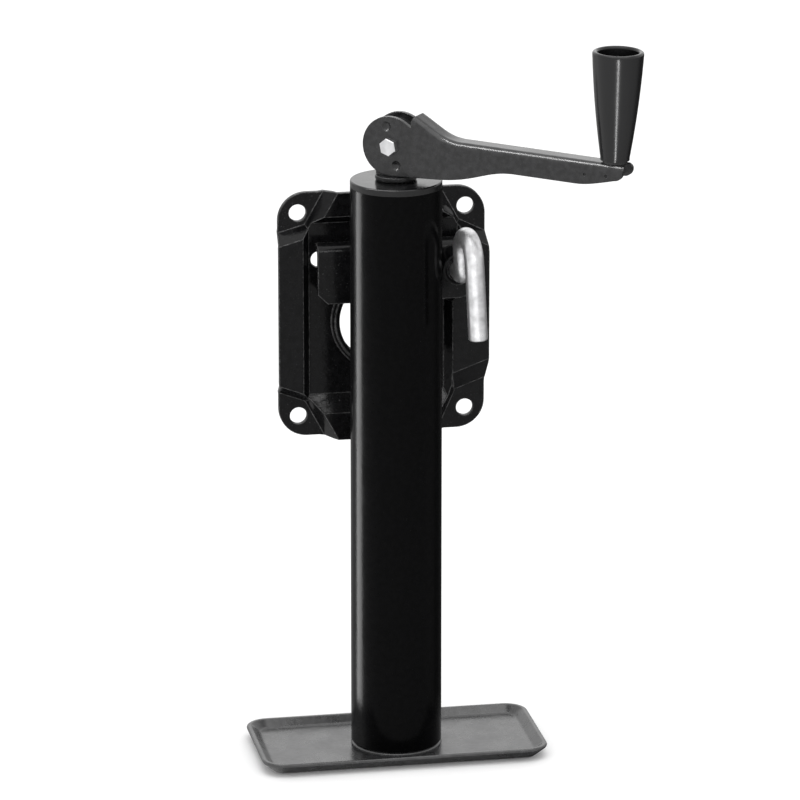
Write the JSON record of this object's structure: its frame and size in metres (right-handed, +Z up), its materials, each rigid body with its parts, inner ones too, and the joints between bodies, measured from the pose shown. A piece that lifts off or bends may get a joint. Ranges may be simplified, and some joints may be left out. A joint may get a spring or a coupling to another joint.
{
  "type": "trailer tongue jack",
  "caption": "Swivel-mount trailer tongue jack with a bolt-on plate, spring pull pin, telescoping ram with foot plate, and fold-over top crank.",
  "frame": {"origin": "on the ground at the middle of the foot's underside, on the axis of the tubes", "axes": "+Z up along the tubes, +Y back through the mounting plate to the trailer frame, +X to the pull pin's side"},
  "size_m": [0.225, 0.159, 0.4669],
  "materials": {
    "black_paint": "gloss black enamel on pressed and welded steel",
    "black_plastic": "moulded black plastic with a soft gloss",
    "bright_zinc": "bright zinc plate on steel rod and fasteners",
    "spring_steel": "oiled dark spring steel",
    "bearing_bronze": "machined bronze and brass",
    "plain_steel": "greased bare steel",
    "bearing_steel": "ground and polished bearing steel"
  },
  "bodies": {
    "mount": {"mounting_plate": "black_paint"},
    "jack": {"outer_tube": "black_paint", "top_cap": "black_paint", "cap_bushing": "bearing_bronze", "guide_rivet": "bright_zinc", "upper_race": "bearing_steel", "swivel_tube": "black_paint", "swivel_collar": "black_paint", "swivel_retainer": "black_paint", "swivel_bracket": "black_paint", "swivel_channel": "black_paint", "bracket_welds": "black_paint", "pin_housing": "black_paint", "pin_spring": "spring_steel"},
    "screw": {"lift_screw": "plain_steel", "thrust_collar": "plain_steel", "lower_race": "bearing_steel", "bearing_balls": "bearing_steel", "ball_cage": "bearing_bronze", "drive_hub": "black_paint", "hub_pin": "spring_steel"},
    "ram": {"ram_tube": "plain_steel", "lift_nut": "plain_steel", "foot_plate": "black_paint", "foot_weld": "black_paint"},
    "crank": {"crank_arm": "black_paint", "fold_bolt": "bright_zinc", "fold_nut": "bright_zinc", "grip_bolt": "bright_zinc", "grip_washer": "bright_zinc", "grip_nut": "bright_zinc"},
    "grip": {"grip": "black_plastic"},
    "pin": {"pull_pin": "bright_zinc", "pin_clip": "spring_steel"}
  },
  "joints": [
    {"name": "swivel", "type": "hinge", "parent": "mount", "child": "jack", "pos_m": [0, 0.046, 0.269], "axis": [0, -1, 0], "range_deg": [0, 90]},
    {"name": "pin_pull", "type": "slide", "parent": "jack", "child": "pin", "axis": [0, 1, 0], "range_m": [0, 0.008], "deforming": ["pin_spring"]},
    {"name": "crank_turn", "type": "hinge", "parent": "jack", "child": "screw", "pos_m": [0, 0, 0.37], "axis": [0, 0, -1], "range_deg": [0, 18288]},
    {"name": "ram_slide", "type": "slide", "parent": "jack", "child": "ram", "axis": [0, 0, -1], "range_m": [0, 0.254]},
    {"name": "handle_fold", "type": "hinge", "parent": "screw", "child": "crank", "pos_m": [0, 0, 0.3933], "axis": [-0.6046, -0.7965, 0], "range_deg": [0, 180]},
    {"name": "grip_spin", "type": "hinge", "parent": "crank", "child": "grip", "pos_m": [0.11714, -0.08892, 0.39022], "axis": [0.0167, -0.0127, 0.9998], "continuous": true}
  ],
  "couplings": [
    {"joint": "ram_slide", "follows": "crank_turn", "m_per_rad": 0.00079577}
  ]
}
